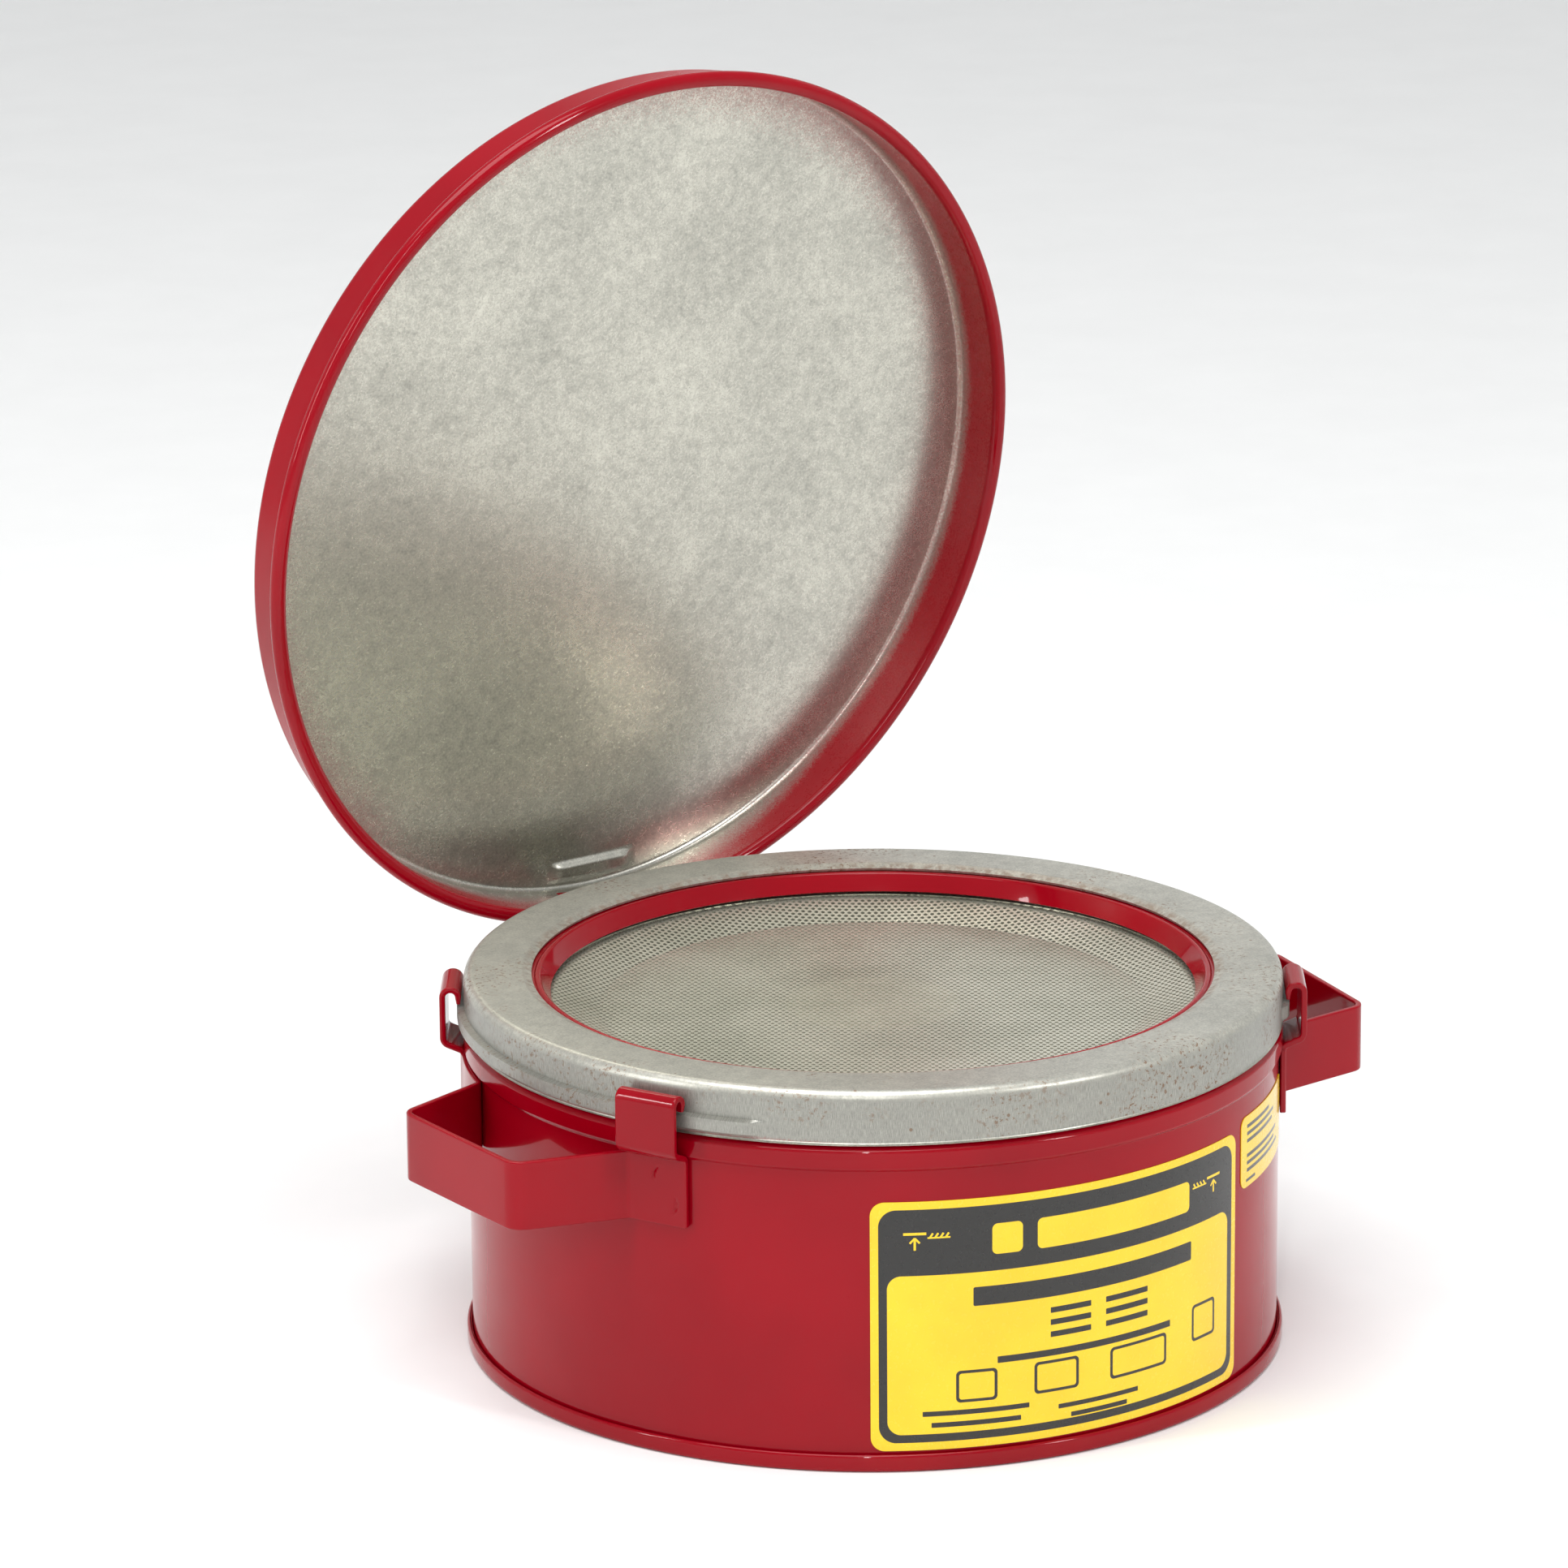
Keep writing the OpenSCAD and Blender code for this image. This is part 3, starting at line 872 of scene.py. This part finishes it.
def make_cover(red, skirt, plate, rubber):
    skirt_heights = [BEAD_LOW + 0.25 * i for i in range(24)]
    corner = bent_line(
        [
            (RING_R - HALF, BEAD_TOP + 0.5), (RING_R - HALF, RING_TOP - HALF),
            (OPENING_R + 3.1, RING_TOP - HALF), (OPENING_R + 0.45, RING_TOP - 1.45),
        ],
        [2.6, 1.5],
    )
    line = [Vector((RING_R - HALF, z)) for z in skirt_heights if z < BEAD_TOP + 0.4] + corner
    ring = spin(
        "ring_sheet", line, [skirt], shape=bead_push, segments=360, place=COVER_PLACE, sharp=50,
    )
    put(ring, "cover", "zinc_steel", "cover_ring")
    hem = [
        Vector((RING_R - HALF + 0.05, SKIRT_Z + 0.62)) + 0.24 * Vector((math.cos(a), math.sin(a)))
        for a in [math.radians(30 * i) for i in range(12)]
    ]
    hem_ring = spin("ring_hem", hem, [plate], thickness=0.64, place=COVER_PLACE)
    put(hem_ring, "cover", "zinc_steel")
    under_ring = RING_TOP - SHEET - HALF
    collar_line = bent_line(
        [
            (COLLAR_R, under_ring), (COLLAR_SHELF_R + 1.8, under_ring),
            (COLLAR_SHELF_R, COLLAR_SHELF_Z), (OPENING_R - 0.6, COLLAR_SHELF_Z),
            (OPENING_R - 1.7, COLLAR_SHELF_Z + 0.9), (94.05, COLLAR_SHELF_Z - 4.3),
        ],
        [0.8, 0.8, 0.35, 0.7],
    )
    collar = spin("red_collar", collar_line, [red], place=COVER_PLACE)
    put(collar, "cover", "red_enamel", "dasher_collar")
    gasket_z = (top("cover_gasket") + bottom("cover_gasket")) / 2
    gasket_line = [Vector((GASKET_IN + 0.1, gasket_z)), Vector((GASKET_OUT - 0.1, gasket_z))]
    gasket = spin("flat_gasket", gasket_line, [rubber], thickness=GASKET_T, place=COVER_PLACE)
    put(gasket, "cover", "seal_rubber", "cover_gasket")


# ---------------------------------------------------------------- the lid

SLOT_HALF = 14.25
SLOT_LOW = HINGE_Z - 3.3
SLOT_HIGH = HINGE_Z + 9.4


def lid_shape(point, r, angle):
    """Presses the pocket beside the hinge into the lid's disc."""
    if point.z < LID_FLOOR - 0.5 or point.y < RING_R:
        return point
    inside = min(
        POCKET_HALF - abs(point.x), (POCKET_OUT - point.y) / 0.9, (point.y - POCKET_IN) / 2.4,
    )
    return point - Vector((0, 0, POCKET_DEPTH * ease(max(0.0, min(1.0, inside)))))


def cut_slot(lid):
    """Cuts the slot for the hinge through the lid's wall."""
    cutter_mesh = bpy.data.meshes.new("slot_cutter")
    work = bmesh.new()
    bmesh.ops.create_cube(work, size=1.0)
    size = Vector((2 * SLOT_HALF, 10, SLOT_HIGH - SLOT_LOW)) * MM
    middle = Vector((0, HINGE_R + 2, (SLOT_HIGH + SLOT_LOW) / 2)) * MM
    for vert in work.verts:
        vert.co = Vector(a * b for a, b in zip(vert.co, size)) + middle
    work.to_mesh(cutter_mesh)
    work.free()
    cutter = bpy.data.objects.new("slot_cutter", cutter_mesh)
    bpy.context.scene.collection.objects.link(cutter)
    cutter.matrix_world = lid.matrix_world
    cut = lid.modifiers.new("slot", "BOOLEAN")
    cut.object = cutter
    cut.operation = "DIFFERENCE"
    cut.solver = "EXACT"
    bpy.context.view_layer.update()
    graph = bpy.context.evaluated_depsgraph_get()
    shape = bpy.data.meshes.new_from_object(lid.evaluated_get(graph))
    lid.modifiers.clear()
    lid.data = shape
    bpy.data.objects.remove(cutter)


def make_lid(red, inside):
    floor_z = LID_FLOOR + HALF
    curl_z = RIM_Z + CURL_R + HALF
    disc_radii = [0, 20, 40, 60, 75, 85, 92] + [94 + 0.75 * i for i in range(43)]
    disc = [Vector((r, floor_z)) for r in disc_radii]
    corner = bent_line(
        [(disc_radii[-1], floor_z), (LID_WALL, floor_z), (LID_WALL, curl_z)], [2.2], steps=10,
    )
    curl = [
        Vector((LID_WALL + CURL_R, curl_z)) + CURL_R * Vector((math.cos(a), math.sin(a)))
        for a in [math.radians(180 + 15 * i) for i in range(1, 21)]
    ]
    line = disc[:-1] + corner + curl
    # Left of the line is the outside of the disc and wall.
    lid = spin(
        "lid_sheet", line, [red, inside], shape=lid_shape, segments=360, place=LID_PLACE, sharp=50,
        slot_of=lambda at, left: int(not left and at.y > RIM_Z + 3.2 and at.x < LID_WALL),
    )
    cut_slot(lid)
    put(lid, "lid", "red_enamel", "lid_pan")


# ---------------------------------------------------------------- the dasher

DISH_LINE = bent_line(
    [
        (0, DISH_Z), (FLOOR_R, DISH_Z), (SLOPE_END_R, DISH_Z + 3.6),
        (DASHER_R - 1.2, DISH_Z + DISH_EDGE),
    ],
    [3.0, 3.0],
)


def dish_place(flat_radius, angle, lift):
    """A place on the pressed dish from its place on the flat sheet."""
    gone = 0.0
    for a, b in zip(DISH_LINE, DISH_LINE[1:]):
        step = (b - a).length
        if gone + step >= flat_radius or b is DISH_LINE[-1]:
            along = (b - a) / step
            point = a + along * (flat_radius - gone)
            point += Vector((-along.y, along.x)) * lift
            return Vector((point.x * math.cos(angle), point.x * math.sin(angle), point.y)) * MM
        gone += step


LATTICE_TURN = Matrix.Rotation(math.radians(-30), 2)
ROW_STEP = HOLE_PITCH * math.sqrt(3) / 2
# Corners and side middles of the six-sided cells all lie on this finer grid.
GRID_X = HOLE_PITCH / 4
GRID_Y = ROW_STEP / 6


def hole_cells():
    """Grid places of the holes that fit in the perforated area."""
    rows = int(PERFORATED_R / ROW_STEP) + 1
    columns = int(PERFORATED_R / HOLE_PITCH) + 2
    for row in range(-rows, rows + 1):
        for column in range(-columns, columns + 1):
            cell = (4 * column + 2 * (row % 2), 6 * row)
            if math.hypot(cell[0] * GRID_X, cell[1] * GRID_Y) < PERFORATED_R - 0.6 * HOLE_PITCH:
                yield cell


def make_dish(steel):
    """Perforated sheet: every hole is a ring of 12 points in its six-sided cell."""
    points, faces, index = [], [], {}

    def pair(key, flat):
        """The sheet's upper and lower point at a place on the flat sheet."""
        if key not in index:
            index[key] = (len(points), len(points) + 1)
            flat = LATTICE_TURN @ flat
            angle = math.atan2(flat.y, flat.x)
            points.extend(dish_place(flat.length, angle, lift) for lift in (HALF, -HALF))
        return index[key]

    cell_r = HOLE_PITCH / math.sqrt(3)
    ring = []
    for k in range(12):
        a = math.radians(30 * k + 30)
        direction = Vector((math.cos(a), math.sin(a)))
        reach = direction * (cell_r if k % 2 == 0 else HOLE_PITCH / 2)
        ring.append((round(reach.x / GRID_X), round(reach.y / GRID_Y), direction * HOLE_R))
    border = {}
    for cell in hole_cells():
        centre = Vector((cell[0] * GRID_X, cell[1] * GRID_Y))
        rim, hole = [], []
        for k, (step_x, step_y, offset) in enumerate(ring):
            key = (cell[0] + step_x, cell[1] + step_y)
            rim.append(pair(key, Vector((key[0] * GRID_X, key[1] * GRID_Y))))
            hole.append(pair((cell, k), centre + offset))
        for k in range(12):
            n = (k + 1) % 12
            corners = (rim[k], rim[n], hole[n], hole[k])
            faces.append([c[0] for c in corners])
            faces.append([c[1] for c in reversed(corners)])
            faces.append([hole[k][0], hole[n][0], hole[n][1], hole[k][1]])
            edge = frozenset((rim[k], rim[n]))
            border[edge] = None if edge in border else (rim[k], rim[n])
    for edge in border.values():
        if edge:
            first, second = edge
            faces.append([first[1], second[1], second[0], first[0]])
    mesh = bpy.data.meshes.new("perforated_dish")
    mesh.from_pydata(points, [], faces)
    tidy_mesh(mesh)
    dish = finish_piece("perforated_dish", mesh, [steel], sharp=40)
    put(dish, "dasher", "perforated_steel", "dasher_dish")


def make_dasher_parts(steel, plain):
    border = [
        Vector((PERFORATED_R - 5.0, DISH_Z + 3.75)),
        Vector((DASHER_R - 1.4, DISH_Z + DISH_EDGE)),
    ]
    band = spin("dish_border", border, [steel], thickness=SHEET + 0.3)
    put(band, "dasher", "perforated_steel")
    mid_z = (top("dasher_rim") + bottom("dasher_rim")) / 2
    inner, outer = DASHER_R - 3.6, DASHER_R - HALF
    lift = 1.1
    line = bent_line(
        [(inner, mid_z + lift), (outer, mid_z + lift), (outer, mid_z - lift), (inner, mid_z - lift)],
        [0.7, 0.7],
    )
    rim = spin("dasher_binding", line, [plain])
    put(rim, "dasher", "perforated_steel", "dasher_rim")
    cup_r = half_width("spring_cup") - HALF
    plate_z = top("spring_cup") - HALF
    # Shorter than the CAD's cup, to stay clear of the squeezed spring.
    cup_low = bottom("spring_cup") + 2.6
    line = bent_line([(0, plate_z), (cup_r, plate_z), (cup_r, cup_low)], [1.4])
    put(spin("coil_cup", line, [plain], segments=96), "dasher", "zinc_steel", "spring_cup")
    seat_r = half_width("spring_seat") - HALF
    seat_z = PANEL_Z + HALF
    line = bent_line(
        [(seat_r - 14, seat_z), (seat_r, seat_z), (seat_r, top("spring_seat") - 0.1)], [1.2],
    )
    put(spin("coil_seat", line, [plain], segments=128), "can", "zinc_steel", "spring_seat")


def make_spring(steel):
    low, high = bottom("dasher_spring"), top("dasher_spring")
    wire = 2.6
    coils = 6
    flat_turn = 0.8
    low_r, high_r = 40.0, 20.0
    per_turn, sides = 48, 14
    rings = coils * per_turn
    verts = []
    for i in range(rings + 1):
        turn = i / per_turn
        share = max(0.0, min(1.0, (turn - flat_turn) / (coils - 2 * flat_turn)))
        share = 0.25 * ease(share) + 0.75 * share
        z = low + wire / 2 + (high - low - wire) * share
        mean = low_r + (high_r - low_r) * i / rings
        angle = 2 * math.pi * turn
        for j in range(sides):
            a = 2 * math.pi * j / sides
            r = mean + wire / 2 * math.cos(a)
            height = z + wire / 2 * math.sin(a)
            verts.append(Vector((r * math.cos(angle), r * math.sin(angle), height)) * MM)
    mesh = bpy.data.meshes.new("coil_spring")
    mesh.from_pydata(verts, [], sweep_faces(rings + 1, sides))
    spring = put(finish_piece("coil_spring", mesh, [steel]), "can", "spring_wire", "dasher_spring")
    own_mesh(spring)


# ---------------------------------------------------------------- hinge hardware from the frame

def dress_hinge(metal):
    for node in ("ring_hinge_leaf", "hinge_pin", "lid_hinge_leaf"):
        piece = frame["nodes"][node]
        piece.data.materials.clear()
        piece.data.materials.append(metal)
        soften = piece.modifiers.new("edges", "BEVEL")
        soften.width = 0.15 * MM
        soften.segments = 2
        soften.limit_method = "ANGLE"
        soften.angle_limit = math.radians(50)


# ---------------------------------------------------------------- studio

def make_floor():
    s = Shader("studio_floor")
    grain = s.noise(s.position(), 0.02, 3.0)
    s.set(base_color=s.mix(grain, rgb(240, 240, 239), rgb(246, 246, 245)), roughness=0.7)
    reach, rise = 4.2, 3.4
    line = bent_line([(0, 0), (reach, 0), (reach, rise)], [1.6], steps=24)
    verts, faces = [], []
    segments = 96
    for i in range(segments):
        a = 2 * math.pi * i / segments
        verts += [(r * math.cos(a), r * math.sin(a), z) for r, z in line]
    count = len(line)
    for i in range(segments):
        j = (i + 1) % segments
        for k in range(count - 1):
            a, b = i * count + k, j * count + k
            faces.append((a, b, b + 1, a + 1))
    mesh = bpy.data.meshes.new("studio_floor")
    mesh.from_pydata(verts, [], faces)
    tidy_mesh(mesh)
    mesh.flip_normals()
    finish_piece("studio_floor", mesh, [s.material], sharp=80)


def soft_light(name, place, target, size, power):
    light = bpy.data.lights.new(name, "AREA")
    light.shape = "RECTANGLE"
    light.size, light.size_y = size
    light.energy = power
    lamp = bpy.data.objects.new(name, light)
    lamp.location = place
    lamp.rotation_euler = (Vector(target) - Vector(place)).to_track_quat("-Z", "Y").to_euler()
    bpy.context.scene.collection.objects.link(lamp)


def make_lights():
    middle = (0, 0, 0.15)
    soft_light("top_light", (-0.4, -0.2, 2.3), middle, (1.8, 1.4), 40)
    soft_light("front_light", (1.1, -2.4, 1.6), middle, (0.3, 0.9), 22)
    soft_light("left_light", (-2.2, 0.2, 1.1), middle, (0.14, 1.4), 15)
    soft_light("edge_light", (-1.2, -1.9, 1.5), middle, (0.07, 1.3), 9)
    world = bpy.data.worlds.new("studio_world")
    world.use_nodes = True
    background = world.node_tree.nodes["Background"]
    background.inputs["Color"].default_value = (0.95, 0.97, 1.0, 1.0)
    background.inputs["Strength"].default_value = 0.5
    bpy.context.scene.world = world


CAMERA_AZIMUTH = math.radians(-30)
CAMERA_ELEVATION = math.radians(20.04)
CAMERA_DISTANCE = 2.37985
CAMERA_LENS = 185.1
CAMERA_PAN = math.radians(0.626)
CAMERA_TILT = math.radians(3.852)
CAMERA_ROLL = math.radians(0.2365)


def make_camera():
    """Looks at the origin, then turns by the small pan, tilt and roll that frame the can."""
    flat = CAMERA_DISTANCE * math.cos(CAMERA_ELEVATION)
    place = Vector((
        flat * math.sin(CAMERA_AZIMUTH),
        -flat * math.cos(CAMERA_AZIMUTH),
        CAMERA_DISTANCE * math.sin(CAMERA_ELEVATION),
    ))
    ahead = -place.normalized()
    right = ahead.cross(Vector((0, 0, 1))).normalized()
    up = right.cross(ahead)
    pan = Quaternion(up, CAMERA_PAN)
    ahead, right = pan @ ahead, pan @ right
    tilt = Quaternion(right, CAMERA_TILT)
    ahead, up = tilt @ ahead, tilt @ up
    roll = Quaternion(ahead, CAMERA_ROLL)
    right, up = roll @ right, roll @ up
    data = bpy.data.cameras.new("photo_camera")
    data.lens = CAMERA_LENS
    data.sensor_width = 36
    data.clip_end = 30
    camera = bpy.data.objects.new("photo_camera", data)
    turn = Matrix((right, up, -ahead)).transposed().to_4x4()
    camera.matrix_world = Matrix.Translation(place) @ turn
    bpy.context.scene.collection.objects.link(camera)
    bpy.context.scene.camera = camera


# ---------------------------------------------------------------- all of it

make_camera()
make_floor()
make_lights()
bpy.context.scene.view_settings.view_transform = "Standard"

red = red_enamel()
bare = zinc("bare_zinc")
make_can(red, bare)
make_stickers()
make_handle("left_handle", "handle_left", -1, red)
make_handle("right_handle", "handle_right", 1, red)
ring_zinc = zinc("ring_zinc", skirt=True, rust=0.85, overspray=skirt_overspray, metallic=0.65)
make_cover(red, ring_zinc, bare, seal_rubber())
make_lid(red, zinc("lid_zinc", overspray=lid_overspray, roughness=(0.24, 0.32)))
steel = perforated_steel()
make_dish(steel)
make_dasher_parts(steel, bare)
make_spring(spring_steel())
dress_hinge(bare)
